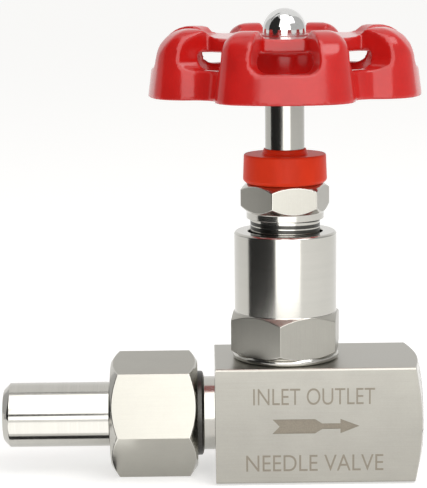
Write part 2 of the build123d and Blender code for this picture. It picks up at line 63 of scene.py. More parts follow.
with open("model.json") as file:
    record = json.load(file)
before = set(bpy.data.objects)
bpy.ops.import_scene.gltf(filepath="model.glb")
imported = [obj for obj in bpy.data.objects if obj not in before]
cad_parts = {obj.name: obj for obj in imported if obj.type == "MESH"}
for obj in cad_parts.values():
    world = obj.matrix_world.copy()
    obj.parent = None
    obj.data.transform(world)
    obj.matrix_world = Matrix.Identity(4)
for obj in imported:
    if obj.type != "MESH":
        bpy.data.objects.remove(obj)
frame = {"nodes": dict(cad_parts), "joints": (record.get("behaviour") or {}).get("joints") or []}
CAD_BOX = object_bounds()

# Basic ISO thread form, as shares of the pitch.
THREAD_DEPTH = 0.5413
PITCH_LINE_DROP = 0.3248
MALE_ROOT, MALE_CREST = 0.75, 0.125
FEMALE_ROOT, FEMALE_CREST = 0.875, 0.25

BAR_LOW, BAR_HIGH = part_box("valve_body")
FLOW_HEIGHT = (BAR_LOW.z + BAR_HIGH.z) / 2
FLOW_POINT = Vector((0, 0, FLOW_HEIGHT))
ALONG_X = Matrix.Rotation(math.pi / 2, 4, "Y")
MM = 0.001

# Sizes of the part that its boxes don't give.
NECK_THREAD_LENGTH = 12.25 * MM
OUTLET_THREAD_DEPTH = 14.0 * MM
GLAND_THREAD_SHOWING = 2.8 * MM
UNION_FLAT_REACH = 11.85 * MM
GLAND_FLAT_REACH = 8.38 * MM
BONNET_FLAT_REACH = 9.0 * MM
BONNET_HEX_LOW, BONNET_HEX_HIGH = BAR_HIGH.z + 1.55 * MM, BAR_HIGH.z + 10.35 * MM
BAR_SHOULDER = -16 * MM
MARK_HALF_HEIGHT = 1.7 * MM
MARK_LEFT, MARK_RIGHT = -3.6 * MM, 15.2 * MM
LETTER_SIZE = 5.2 * MM


# ---- Sizes and colours ----
def length(name, description, default, most=0.1):
    return bpy.props.FloatProperty(
        name=name, description=description, default=default, min=0.0, max=most,
        precision=5, unit="LENGTH",
    )


def share(name, description, default, most=1.0):
    return bpy.props.FloatProperty(
        name=name, description=description, default=default, min=0.0, max=most,
        subtype="FACTOR",
    )


def colour(name, description, default):
    return bpy.props.FloatVectorProperty(
        name=name, description=description, default=default, min=0.0, max=1.0,
        size=3, subtype="COLOR",
    )


class ThreadSizes(bpy.types.PropertyGroup):
    """Screw threads that show."""

    line_major: length("Line major radius", "Outer radius of the M20 line threads", 0.010)
    line_pitch: length("Line pitch", "Pitch of the M20 line threads", 0.0015)
    gland_major: length("Gland major radius", "Outer radius of the M16 packing nut thread", 0.008)
    gland_pitch: length("Gland pitch", "Pitch of the packing nut thread", 0.001)
    gap: length("Running gap", "Space between mating threads, on the radius", 0.00003)
    run_out: bpy.props.FloatProperty(
        name="Run-out", description="Turns over which a thread fades at its ends",
        default=0.4, min=0.05, max=2.0,
    )
    steps: bpy.props.IntProperty(
        name="Steps", description="Divisions in one turn of thread", default=72, min=12, max=200,
    )


class EdgeSizes(bpy.types.PropertyGroup):
    """How soft the edges are."""

    machined: length("Machined edge", "Rounding on turned and milled edges", 0.00012)
    moulded: length("Moulded edge", "Rounding on the plastic cap's edges", 0.00025)
    voxel: length("Casting grid", "Grid that the casting is remeshed on", 0.00034)
    casting_smoothing: bpy.props.IntProperty(
        name="Casting smoothing", description="Passes that round the casting's edges",
        default=12, min=0, max=200,
    )


class FinishColours(bpy.types.PropertyGroup):
    """Colours of the finishes."""

    bar: colour("Ground stainless", "Satin flats of the bar and hexagons", (0.37, 0.36, 0.325))
    turned: colour("Turned stainless", "Bright turned surfaces", (0.50, 0.49, 0.455))
    plating: colour("Plating", "Bright dome nut", (0.68, 0.68, 0.67))
    enamel: colour("Red enamel", "Handwheel", (0.51, 0.008, 0.006))
    plastic: colour("Red plastic", "Packing nut cap", (0.64, 0.034, 0.007))
    packing: colour("Packing", "White packing rings and gasket", (0.82, 0.82, 0.80))
    copper: colour("Copper", "Body gasket", (0.72, 0.36, 0.24))
    etching: colour("Etching", "Marks on the front face", (0.22, 0.195, 0.155))
    floor: colour("Floor", "Studio floor", (0.62, 0.617, 0.61))


class StageSizes(bpy.types.PropertyGroup):
    """Light and camera."""

    ambient: share("Ambient", "Strength of the even white light", 0.62, 5.0)
    key: share("Key", "Power of the soft light over the valve, in watts", 2.2, 20.0)
    reflector: share("Reflector", "Strength of the bright card that the metal mirrors", 3.0, 20.0)
    fill: share("Fill", "Strength of the pale card behind the valve", 1.0, 20.0)
    floor_glow: share("Floor glow", "Light that the floor gives off", 0.56, 2.0)
    lens: bpy.props.FloatProperty(
        name="Lens", description="Focal length", default=133.2, min=10, max=500, unit="CAMERA",
    )
    camera: bpy.props.FloatVectorProperty(
        name="Camera", description="Where the camera stands", size=3,
        default=(-0.0176, -0.3838, 0.1134), subtype="TRANSLATION", unit="LENGTH",
    )
    camera_turn: bpy.props.FloatVectorProperty(
        name="Camera turn", description="Yaw, downward pitch and roll", size=3,
        default=(math.radians(0.32), math.radians(9.40), math.radians(-0.61)),
        subtype="EULER", unit="ROTATION",
    )


class ValveSettings(bpy.types.PropertyGroup):
    """Everything that a user may change."""

    threads: bpy.props.PointerProperty(type=ThreadSizes)
    edges: bpy.props.PointerProperty(type=EdgeSizes)
    colours: bpy.props.PointerProperty(type=FinishColours)
    stage: bpy.props.PointerProperty(type=StageSizes)


def settings():
    return bpy.context.scene.needle_valve


# ---- Node trees ----
class Signal:
    """A node's socket that takes part in Python arithmetic by adding Math nodes."""

    def __init__(self, sheet, socket):
        self.sheet = sheet
        self.socket = socket

    def math(self, operation, first, second):
        return self.sheet.node("ShaderNodeMath", {"operation": operation}, {0: first, 1: second})

    def __add__(self, other):
        return self.math("ADD", self, other)

    def __radd__(self, other):
        return self.math("ADD", other, self)

    def __sub__(self, other):
        return self.math("SUBTRACT", self, other)

    def __rsub__(self, other):
        return self.math("SUBTRACT", other, self)

    def __mul__(self, other):
        return self.math("MULTIPLY", self, other)

    def __rmul__(self, other):
        return self.math("MULTIPLY", other, self)

    def __truediv__(self, other):
        return self.math("DIVIDE", self, other)

    def above(self, level):
        return self.math("GREATER_THAN", self, level)

    def below(self, level):
        return self.math("LESS_THAN", self, level)

    def least(self, other):
        return self.math("MINIMUM", self, other)

    def most(self, other):
        return self.math("MAXIMUM", self, other)

    def mix(self, low, high):
        """A colour between low and high, by this signal."""
        return self.sheet.node(
            "ShaderNodeMix", {"data_type": "RGBA"},
            {"Factor_Float": self, "A_Color": low, "B_Color": high}, "Result_Color",
        )


class Sheet:
    """A node tree that is built up from Python."""

    def __init__(self, tree):
        self.tree = tree

    def node(self, kind, choices=(), sockets=(), output=0):
        """One node: its choices first, then its sockets' values or links; returns one output."""
        made = self.tree.nodes.new(kind)
        for name, value in dict(choices).items():
            setattr(made, name, value)
        for name, value in dict(sockets).items():
            socket = self.find(made.inputs, name)
            if isinstance(value, Signal):
                self.tree.links.new(value.socket, socket)
            else:
                socket.default_value = value
        if len(made.outputs) == 0:
            return None
        return Signal(self, self.find(made.outputs, output))

    @staticmethod
    def find(sockets, name):
        if isinstance(name, int):
            return sockets[name]
        for socket in sockets:
            if socket.identifier == name or socket.name.lower() == str(name).lower():
                return socket
        raise KeyError(name)


class Finish(Sheet):
    """A procedural material whose patterns lie in the object's own coordinates."""

    def __init__(self, name):
        self.material = bpy.data.materials.new(name)
        self.material.use_nodes = True
        super().__init__(self.material.node_tree)
        self.tree.nodes.clear()
        self.place = self.node("ShaderNodeTexCoord", output="Object")

    def noise(self, grain, detail=2.0, rough=0.5):
        """Noise whose features are about grain (x, y, z) metres long."""
        stretched = self.node(
            "ShaderNodeMapping", {},
            {"Vector": self.place, "Scale": tuple(1 / size for size in grain)},
        )
        return self.node(
            "ShaderNodeTexNoise", {},
            {"Vector": stretched, "Scale": 1.0, "Detail": detail, "Roughness": rough},
        )

    def axes(self):
        """The object's x, y and z as three signals."""
        split = self.tree.nodes.new("ShaderNodeSeparateXYZ")
        self.tree.links.new(self.place.socket, split.inputs[0])
        return [Signal(self, socket) for socket in split.outputs]

    def bump(self, height, distance, strength=1.0):
        return self.node(
            "ShaderNodeBump", {},
            {"Height": height, "Distance": distance, "Strength": strength}, "Normal",
        )

    def surface(self, **sockets):
        """Ends the tree in a Principled shader with those sockets."""
        named = {key.replace("_", " "): value for key, value in sockets.items()}
        shader = self.node("ShaderNodeBsdfPrincipled", {}, named, "BSDF")
        self.node("ShaderNodeOutputMaterial", {}, {"Surface": shader})
        return self.material


def tone(rgb, gain=1.0):
    """An RGBA colour, brightened or darkened."""
    return (*(min(1.0, channel * gain) for channel in rgb), 1.0)


def stretched(axis, along, across):
    """Grain sizes for lines that run along an axis."""
    return tuple(along if index == axis else across for index in range(3))


def ground_metal(name, rgb, axis, rough=0.33, marks=False):
    """Satin ground or drawn flats: fine lines along the axis and a faint cloudy patina."""
    finish = Finish(name)
    lines = finish.noise(stretched(axis, 9 * MM, 0.11 * MM), 3.0, 0.65)
    cloud = finish.noise((5 * MM,) * 3, 3.0, 0.55)
    speck = finish.noise((0.35 * MM,) * 3, 1.0, 0.5)
    blend = lines * 0.45 + cloud * 0.35 + speck * 0.2
    base = ((blend - 0.3) * 2.5).mix(tone(rgb, 0.93), tone(rgb, 1.06))
    roughness = rough - 0.07 + lines * 0.10 + cloud * 0.06
    height = lines * 0.8 + speck * 0.4
    metallic = 1.0
    if marks:
        x, y, z = finish.axes()
        front = BAR_LOW.y
        recess = y.above(front + 0.09 * MM) * y.below(front + 0.25 * MM)
        recess = recess * x.above(MARK_LEFT) * x.below(MARK_RIGHT)
        recess = recess * z.above(FLOW_HEIGHT - MARK_HALF_HEIGHT)
        recess = recess * z.below(FLOW_HEIGHT + MARK_HALF_HEIGHT)
        burn = finish.noise((0.25 * MM,) * 3, 2.0, 0.6)
        etching = settings().colours.etching
        etched = burn.mix(tone(etching, 0.85), tone(etching, 1.3))
        base = recess.mix(base, etched)
        roughness = roughness + recess * 0.25
        metallic = 1.0 - recess * 0.5
    return finish.surface(
        base_color=base, metallic=metallic, roughness=roughness,
        normal=finish.bump(height, 0.004 * MM, 0.6),
    )


def turned_metal(name, rgb, axis, rough=0.14, ring=0.13):
    """Bright turned surface: fine rings round the axis, of uneven depth."""
    finish = Finish(name)
    around = stretched(axis, ring * MM, 60 * MM)
    rings = finish.noise(around, 2.0, 0.6)
    coarse = finish.noise(stretched(axis, 0.9 * MM, 60 * MM), 1.0, 0.5)
    cloud = finish.noise((6 * MM,) * 3, 2.0, 0.5)
    base = ((rings * 0.5 + coarse * 0.3 + cloud * 0.2 - 0.3) * 2.5).mix(
        tone(rgb, 0.95), tone(rgb, 1.05)
    )
    roughness = rough - 0.03 + rings * 0.07 + cloud * 0.03
    return finish.surface(
        base_color=base, metallic=1.0, roughness=roughness,
        normal=finish.bump(rings * 0.7 + coarse * 0.6, 0.0016 * MM, 0.7),
    )


def threaded_metal(name, rgb, axis, root, crest):
    """Cut thread: bright crests, and painted shade that darkens the grooves towards the root. root and crest
    are radii.
    """
    finish = Finish(name)
    x, y, z = finish.axes()
    across = (y, z - FLOW_HEIGHT) if axis == 0 else (x, y)
    reach = finish.node(
        "ShaderNodeMath", {"operation": "SQRT"},
        {0: across[0] * across[0] + across[1] * across[1]},
    )
    height = ((reach - root) / (crest - root)).least(1.0).most(0.0)
    smear = finish.noise((0.5 * MM,) * 3, 2.0, 0.5)
    # Painted shade: the colour falls to 12% at the root, where the grooves lie in shade; smear adds random
    # patches to it.
    lit = (height * height + (smear - 0.5) * 0.25).least(1.0).most(0.0)
    return finish.surface(
        base_color=lit.mix(tone(rgb, 0.12), tone(rgb, 1.0)), metallic=1.0,
        roughness=0.34 - lit * 0.2, normal=finish.bump(smear, 0.003 * MM, 0.5),
    )


def bright_plating(name, rgb):
    """Plated dome nut: mirror-like, with the faint waves of buffing."""
    finish = Finish(name)
    waves = finish.noise((1.6 * MM,) * 3, 2.0, 0.5)
    haze = finish.noise((0.5 * MM,) * 3, 2.0, 0.5)
    base = ((haze - 0.3) * 2.5).mix(tone(rgb, 0.96), tone(rgb, 1.03))
    return finish.surface(
        base_color=base, metallic=1.0, roughness=0.05 + haze * 0.06,
        normal=finish.bump(waves, 0.006 * MM, 0.5),
    )


def red_enamel(name, rgb):
    """Glossy baked coat over a casting: orange peel, and colour that varies in soft random patches."""
    finish = Finish(name)
    peel = finish.noise((0.9 * MM,) * 3, 2.0, 0.5)
    sag = finish.noise((4.5 * MM,) * 3, 2.0, 0.5)
    base = ((sag * 0.7 + peel * 0.3 - 0.3) * 2.5).mix(tone(rgb, 0.92), tone(rgb, 1.08))
    return finish.surface(
        base_color=base, roughness=0.30 + sag * 0.08, specular_ior_level=0.05,
        coat_weight=0.9, coat_roughness=0.18,
        normal=finish.bump(peel * 0.35 + sag, 0.05 * MM, 0.55),
    )


def moulded_plastic(name, rgb, rough=0.38):
    """Moulded plastic: satin, with faint flow marks and a fine grain."""
    finish = Finish(name)
    flow = finish.noise((3 * MM, 3 * MM, 6 * MM), 2.0, 0.5)
    grain = finish.noise((0.2 * MM,) * 3, 1.0, 0.5)
    base = ((flow - 0.3) * 2.5).mix(tone(rgb, 0.94), tone(rgb, 1.06))
    return finish.surface(
        base_color=base, roughness=rough - 0.05 + grain * 0.1, specular_ior_level=0.10,
        normal=finish.bump(grain * 0.4 + flow, 0.012 * MM, 0.5),
    )


def braided_packing(name, rgb):
    """White packing: crossing plaits round the stem."""
    finish = Finish(name)
    plait = finish.node(
        "ShaderNodeTexVoronoi", {"feature": "DISTANCE_TO_EDGE"},
        {"Vector": finish.place, "Scale": 1 / (0.9 * MM)},
    )
    fibre = finish.noise((0.12 * MM, 0.12 * MM, 0.6 * MM), 3.0, 0.6)
    crest = (plait * 3.0).least(1.0)
    base = crest.mix(tone(rgb, 0.72), tone(rgb, 1.05))
    return finish.surface(
        base_color=base, roughness=0.62 + fibre * 0.15,
        normal=finish.bump(crest + fibre * 0.3, 0.05 * MM, 0.7),
    )


def etched_mark(name, rgb):
    """Etched lettering: dark, matt and slightly mottled."""
    finish = Finish(name)
    burn = finish.noise((0.25 * MM,) * 3, 2.0, 0.6)
    return finish.surface(
        base_color=burn.mix(tone(rgb, 0.85), tone(rgb, 1.3)), metallic=0.5,
        roughness=0.5 + burn * 0.15, normal=finish.bump(burn, 0.008 * MM, 0.5),
    )


def pale_floor(name, rgb, glow):
    """Plain studio floor with the least grain, lit a little from below."""
    finish = Finish(name)
    grain = finish.noise((40 * MM,) * 3, 2.0, 0.5)
    return finish.surface(
        base_color=grain.mix(tone(rgb, 0.995), tone(rgb, 1.005)), roughness=0.8,
        specular_ior_level=0.0, emission_color=(1.0, 0.996, 0.985, 1.0), emission_strength=glow,
    )


def glowing_card(name, strength):
    """Card of plain light; strength 0 gives a black one."""
    finish = Finish(name)
    light = finish.node(
        "ShaderNodeEmission", {}, {"Color": (1.0, 0.995, 0.985, 1.0), "Strength": strength},
    )
    finish.node("ShaderNodeOutputMaterial", {}, {"Surface": light})
    return finish.material


FINISHES = {}


def finish_for(key):
    """The shared material of that name, made the first time it is asked for."""
    if key not in FINISHES:
        colours, threads = settings().colours, settings().threads
        makers = {
            "bar": lambda: ground_metal("ground_bar", colours.bar, 0, marks=True),
            "flats_x": lambda: ground_metal("ground_flats_x", colours.bar, 0, 0.30),
            "flats_z": lambda: ground_metal("ground_flats_z", colours.bar, 2, 0.30),
            "turned_x": lambda: turned_metal("turned_x", colours.turned, 0),
            "turned_z": lambda: turned_metal("turned_z", colours.turned, 2),
            "gland_thread": lambda: threaded_metal(
                "gland_thread_cut", colours.turned, 2,
                threads.gland_major - 0.5 * threads.gland_pitch,
                threads.gland_major - 0.06 * threads.gland_pitch,
            ),
            "neck_thread": lambda: threaded_metal(
                "neck_thread_cut", colours.turned, 0, threads.line_major - 0.5 * threads.line_pitch,
                threads.line_major - 0.06 * threads.line_pitch,
            ),
            "bore_thread": lambda: threaded_metal(
                "bore_thread_cut", colours.turned, 0, threads.line_major,
                threads.line_major - 0.45 * threads.line_pitch,
            ),
            "tube": lambda: turned_metal("polished_tube", colours.turned, 0, 0.11, 0.2),
            "stem": lambda: turned_metal(
                "polished_stem", [0.8 * each for each in colours.turned], 2,
            ),
            "hard": lambda: turned_metal("hard_stainless", colours.bar, 2, 0.25),
            "plating": lambda: bright_plating("bright_plating", colours.plating),
            "enamel": lambda: red_enamel("red_enamel", colours.enamel),
            "plastic": lambda: moulded_plastic("red_plastic", colours.plastic),
            "packing": lambda: braided_packing("white_packing", colours.packing),
            "gasket": lambda: moulded_plastic("white_gasket", colours.packing, 0.45),
            "copper": lambda: ground_metal("annealed_copper", colours.copper, 0, 0.35),
            "etching": lambda: etched_mark("etched_mark", colours.etching),
        }
        FINISHES[key] = makers[key]()
    return FINISHES[key]


# ---- Meshes ----
def merged_copy(node, name):
    """A closed copy of a CAD node's mesh, with its flat faces whole again."""
    work = bmesh.new()
    work.from_mesh(frame["nodes"][node].data)
    bmesh.ops.remove_doubles(work, verts=work.verts, dist=0.002 * MM)
    bmesh.ops.dissolve_limit(
        work, angle_limit=math.radians(0.3), verts=work.verts, edges=work.edges,
    )
    mesh = bpy.data.meshes.new(name)
    work.to_mesh(mesh)
    work.free()
    for attribute in [a.name for a in mesh.attributes if a.name == "custom_normal"]:
        mesh.attributes.remove(mesh.attributes[attribute])
    mesh.materials.clear()
    return mesh


def move_wall(mesh, axis, low, high, inner, outer, radius):
    """Sets the points of a bore or shank between two radii, low to high along the axis, to a radius."""
    count = len(mesh.vertices)
    points = np.zeros(count * 3)
    mesh.vertices.foreach_get("co", points)
    points = points.reshape(-1, 3)
    centre = np.array((0.0, 0.0, FLOW_HEIGHT if axis == 0 else 0.0))
    local = points - centre
    along = local[:, axis].copy()
    local[:, axis] = 0
    reach = np.linalg.norm(local, axis=1)
    chosen = (along > low) & (along < high) & (reach > inner) & (reach < outer)
    local[chosen] *= (radius / reach[chosen])[:, None]
    local[:, axis] = along
    mesh.vertices.foreach_set("co", (local + centre).ravel())
    mesh.update()


def soften(mesh, width, spare=None):
    """Rounds the sharp edges by width, apart from those that spare(point) keeps."""
    work = bmesh.new()
    work.from_mesh(mesh)
    sharp = []
    for edge in work.edges:
        if len(edge.link_faces) != 2 or edge.calc_face_angle(0) < math.radians(24):
            continue
        middle = (edge.verts[0].co + edge.verts[1].co) / 2
        if spare is None or not spare(middle):
            sharp.append(edge)
    bmesh.ops.bevel(
        work, geom=sharp, offset=width, offset_type="OFFSET", segments=2, profile=0.5,
        affect="EDGES", clamp_overlap=False,
    )
    work.to_mesh(mesh)
    work.free()


def plain_object(name, mesh, *materials):
    """A new object at the origin, with those materials in its slots."""
    for material in materials:
        mesh.materials.append(material)
    made = bpy.data.objects.new(name, mesh)
    bpy.context.scene.collection.objects.link(made)
    return made


def baked(made):
    """Turns an object's modifiers into a plain mesh."""
    graph = bpy.context.evaluated_depsgraph_get()
    graph.update()
    mesh = bpy.data.meshes.new_from_object(made.evaluated_get(graph), depsgraph=graph)
    made.modifiers.clear()
    made.data = mesh
    return made


def shade(made, angle=48.0):
    """Smooth shading that keeps flats flat: face-weighted normals, split at sharp edges."""
    made.data.shade_smooth()
    made.data.set_sharp_from_angle(angle=math.radians(angle))
    weights = made.modifiers.new("weights", "WEIGHTED_NORMAL")
    weights.mode = "FACE_AREA"
    weights.keep_sharp = True
    return baked(made)


def paint_flats(mesh, index, axis, reach, low=-1.0, high=1.0):
    """Gives the flats that stand at least reach off the axis the material of that index.

    Given low and high along the axis, the chamfers between them go with the flats.
    """
    centre = FLOW_POINT if axis == 0 else Vector()
    for face in mesh.polygons:
        off = face.center - centre
        flat = abs(face.normal[axis]) < 0.02 and face.area > 1e-6
        chamfered = low > -1.0 and abs(face.normal[axis]) < 0.99
        inside = low < off[axis] < high
        if inside and off.dot(face.normal) > reach and (flat or chamfered):
            face.material_index = index


def machined(name, node, body, finishes, width=None, flats=None, spare=None, wall=None, slot=None):
    """A machined piece from its CAD node: moved thread walls, soft edges, flats and turned faces."""
    mesh = merged_copy(node, name)
    if wall is not None:
        for change in wall:
            move_wall(mesh, *change)
    soften(mesh, settings().edges.machined if width is None else width, spare)
    made = plain_object(name, mesh, *(finish_for(key) for key in finishes))
    if flats is not None:
        paint_flats(mesh, 1, *flats)
    shade(made)
    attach(made, body)
    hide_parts(node)
    return made


THREAD_INPUTS = ("Wall Radius", "Depth", "Root Width", "Crest Width", "Pitch", "Turns", "Run-out")


def thread_tree():
    """Geometry nodes for one screw thread: a ridge swept up a helix round Z, faded at its ends."""
    tree = bpy.data.node_groups.new("screw_thread", "GeometryNodeTree")
    for name in THREAD_INPUTS:
        tree.interface.new_socket(name, in_out="INPUT", socket_type="NodeSocketFloat")
    tree.interface.new_socket("Steps", in_out="INPUT", socket_type="NodeSocketInt")
    tree.interface.new_socket("Material", in_out="INPUT", socket_type="NodeSocketMaterial")
    tree.interface.new_socket("Geometry", in_out="OUTPUT", socket_type="NodeSocketGeometry")
    sheet = Sheet(tree)
    group = tree.nodes.new("NodeGroupInput")
    given = {socket.name: Signal(sheet, socket) for socket in group.outputs if socket.name}
    height = given["Pitch"] * given["Turns"]
    helix = sheet.node(
        "GeometryNodeCurveSpiral", {},
        {"Resolution": given["Steps"], "Rotations": given["Turns"],
         "Start Radius": given["Wall Radius"], "End Radius": given["Wall Radius"],
         "Height": height},
    )
    helix = sheet.node("GeometryNodeSetCurveNormal", {"mode": "Z_UP"}, {"Curve": helix})
    along = sheet.node("GeometryNodeSplineParameter", output="Factor")
    from_start = along * given["Turns"] / given["Run-out"]
    from_end = (1 - along) * given["Turns"] / given["Run-out"]
    fade = from_start.least(from_end).least(1.0).most(0.05)
    half_root = given["Root Width"] / 2
    half_crest = given["Crest Width"] / 2
    foot = given["Depth"] * -0.08

    def corner(across, up):
        return sheet.node("ShaderNodeCombineXYZ", {}, {"X": across, "Y": up})

    outline = sheet.node(
        "GeometryNodeCurvePrimitiveQuadrilateral", {"mode": "POINTS"},
        {"Point 1": corner(foot, -1 * half_root), "Point 2": corner(given["Depth"], -1 * half_crest),
         "Point 3": corner(given["Depth"], half_crest), "Point 4": corner(foot, half_root)},
    )
    ridge = sheet.node(
        "GeometryNodeCurveToMesh", {},
        {"Curve": helix, "Profile Curve": outline, "Scale": fade, "Fill Caps": True},
    )
    whole = sheet.node("GeometryNodeRealizeInstances", {}, {"Geometry": ridge})
    coated = sheet.node(
        "GeometryNodeSetMaterial", {}, {"Geometry": whole, "Material": given["Material"]},
    )
    result = tree.nodes.new("NodeGroupOutput")
    tree.links.new(coated.socket, result.inputs[0])
    return tree


def screw_thread(name, body, place, values, finish):
    """One thread as a plain closed mesh, carried from Z to its place, riding on a body."""
    tree = bpy.data.node_groups.get("screw_thread") or thread_tree()
    made = plain_object(name, bpy.data.meshes.new(name))
    sweep = made.modifiers.new("sweep", "NODES")
    sweep.node_group = tree
    known = {item.name: item.identifier for item in tree.interface.items_tree}
    threads = settings().threads
    for key, value in values.items():
        sweep[known[key]] = value
    sweep[known["Run-out"]] = threads.run_out
    sweep[known["Steps"]] = threads.steps
    sweep[known["Material"]] = finish
    baked(made)
    made.data.transform(place)
    work = bmesh.new()
    work.from_mesh(made.data)
    bmesh.ops.recalc_face_normals(work, faces=work.faces)
    work.to_mesh(made.data)
    work.free()
    made.data.shade_smooth()
    made.data.set_sharp_from_angle(angle=math.radians(25))
    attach(made, body)
    return made


def male_form(major, pitch, turns):
    depth = THREAD_DEPTH * pitch
    gap = settings().threads.gap
    return {
        "Wall Radius": major - gap - depth, "Depth": depth, "Root Width": MALE_ROOT * pitch,
        "Crest Width": MALE_CREST * pitch, "Pitch": pitch, "Turns": turns,
    }


def female_form(major, pitch, turns):
    depth = THREAD_DEPTH * pitch
    gap = settings().threads.gap
    return {
        "Wall Radius": major + gap, "Depth": -depth, "Root Width": FEMALE_ROOT * pitch,
        "Crest Width": FEMALE_CREST * pitch, "Pitch": pitch, "Turns": turns,
    }


# ---- Pieces ----
class VALVE_OT_bar(bpy.types.Operator):
    """Square bar body with its etched arrow, turned outlet end and inlet neck, and their threads"""

    bl_idname = "valve.bar"
    bl_label = "Bar body"

    def execute(self, context):
        threads = settings().threads
        major, pitch = threads.line_major, threads.line_pitch
        depth = THREAD_DEPTH * pitch
        pitch_line = major - PITCH_LINE_DROP * pitch
        neck_end, outlet_end = BAR_LOW.x, BAR_HIGH.x
        root, wall = major - threads.gap - depth, major + threads.gap
        bar_half = -BAR_LOW.y
        neck_thread_end = neck_end + NECK_THREAD_LENGTH
        outlet_floor = outlet_end - OUTLET_THREAD_DEPTH

        def in_mark(point):
            return abs(point.y + bar_half) < 0.2 * MM and abs(point.z - FLOW_HEIGHT) < MARK_HALF_HEIGHT

        made = machined(
            "bar_body", "valve_body", "body", ("bar", "turned_x", "neck_thread"), spare=in_mark,
            wall=(
                (0, neck_end - MM, neck_thread_end, pitch_line - 0.45 * MM, pitch_line + 0.1 * MM, root),
                (0, outlet_floor - 0.1 * MM, outlet_end - 0.5 * MM, major - depth - 0.1 * MM,
                 major - depth + 0.1 * MM, wall),
            ),
            slot="bar_stainless",
        )
        for face in made.data.polygons:
            off = face.center - FLOW_POINT
            flat = max(abs(off.y), abs(off.z)) > bar_half - 0.6 * MM and abs(face.normal.x) < 0.05
            # The neck's wall under the thread takes the thread finish, whose painted shade darkens it at the
            # root.
            if face.center.x < neck_thread_end + 0.3 * MM:
                face.material_index = 2
            elif not flat or face.center.x < BAR_SHOULDER:
                face.material_index = 1
        neck_start = neck_end + 0.3 * MM
        neck_turns = (neck_thread_end - 0.3 * MM - neck_start) / pitch
        screw_thread(
            "neck_thread", "body",
            Matrix.Translation((neck_start, 0, FLOW_HEIGHT)) @ ALONG_X,
            male_form(major, pitch, neck_turns), finish_for("neck_thread"),
        )
        outlet_start = outlet_floor + 0.7 * MM
        outlet_turns = (outlet_end - 0.6 * MM - outlet_start) / pitch
        screw_thread(
            "outlet_thread", "body",
            Matrix.Translation((outlet_start, 0, FLOW_HEIGHT)) @ ALONG_X,
            female_form(major, pitch, outlet_turns), finish_for("bore_thread"),
        )
        return {"FINISHED"}


class VALVE_OT_marks(bpy.types.Operator):
    """Etched generic words above and below the flow arrow"""

    bl_idname = "valve.marks"
    bl_label = "Etched marks"

    def execute(self, context):
        parts = []
        for words, left, right, base in (
            ("INLET OUTLET", -7.8, 18.0, 17.2), ("NEEDLE VALVE", -9.4, 19.8, 2.7),
        ):
            text = bpy.data.curves.new("mark_" + words, "FONT")
            text.body = words
            text.size = LETTER_SIZE
            text.offset = -0.02 * MM
            text.extrude = 0.02 * MM
            holder = bpy.data.objects.new("mark_" + words, text)
            context.scene.collection.objects.link(holder)
            graph = context.evaluated_depsgraph_get()
            mesh = bpy.data.meshes.new_from_object(holder.evaluated_get(graph), depsgraph=graph)
            ends = [vertex.co.x for vertex in mesh.vertices]
            narrow = (right - left) * MM / (max(ends) - min(ends))
            upright = Matrix.Rotation(math.pi / 2, 4, "X") @ Matrix.Scale(narrow, 4, (1, 0, 0))
            place = Matrix.Translation((left * MM, BAR_LOW.y + 0.008 * MM, base * MM))
            mesh.transform(place @ upright)
            bpy.data.objects.remove(holder)
            parts.append(mesh)
        work = bmesh.new()
        for mesh in parts:
            work.from_mesh(mesh)
        bmesh.ops.remove_doubles(work, verts=work.verts, dist=0.0005 * MM)
        joined = bpy.data.meshes.new("etched_marks")
        work.to_mesh(joined)
        work.free()
        joined.materials.clear()
        made = plain_object("etched_marks", joined, finish_for("etching"))
        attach(made, "body")
        return {"FINISHED"}


class VALVE_OT_union(bpy.types.Operator):
    """Union nut with its inner thread, and the weld nipple that it holds"""

    bl_idname = "valve.union"
    bl_label = "Union nut and nipple"

    def execute(self, context):
        threads = settings().threads
        major, pitch = threads.line_major, threads.line_pitch
        nut_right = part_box("union_nut")[1].x
        neck_end = BAR_LOW.x
        pitch_line = major - PITCH_LINE_DROP * pitch
        relief_end = neck_end - 0.8 * MM
        machined(
            "union_hexagon", "union_nut", "union", ("turned_x", "flats_x"),
            flats=(0, UNION_FLAT_REACH), slot="bar_stainless",
            wall=((0, relief_end, nut_right + MM, pitch_line, pitch_line + 0.12 * MM, major + threads.gap),),
        )
        start = neck_end + 0.3 * MM - pitch / 2
        turns = math.floor((nut_right - 0.5 * MM - start) / pitch * 10) / 10
        screw_thread(
            "union_thread", "union",
            Matrix.Translation((start, 0, FLOW_HEIGHT)) @ ALONG_X,
            female_form(major, pitch, turns), finish_for("bore_thread"),
        )
        machined("nipple_tube", "weld_nipple", "nipple", ("tube",), slot="polished_stainless")
        return {"FINISHED"}


class VALVE_OT_bonnet(bpy.types.Operator):
    """Screwed bonnet: collar, satin hexagon and bright barrel"""

    bl_idname = "valve.bonnet"
    bl_label = "Bonnet"

    def execute(self, context):
        threads = settings().threads
        pitch_line = threads.gland_major - PITCH_LINE_DROP * threads.gland_pitch
        bonnet_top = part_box("bonnet")[1].z
        gland_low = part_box("packing_nut")[0].z
        machined(
            "bonnet_turned", "bonnet", "body", ("turned_z", "flats_z"),
            flats=(2, BONNET_FLAT_REACH, BONNET_HEX_LOW, BONNET_HEX_HIGH),
            slot="turned_stainless",
            wall=((2, gland_low - 4 * MM, bonnet_top - 0.2 * MM, pitch_line, pitch_line + 0.12 * MM,
                   threads.gland_major + threads.gap),),
        )
        return {"FINISHED"}


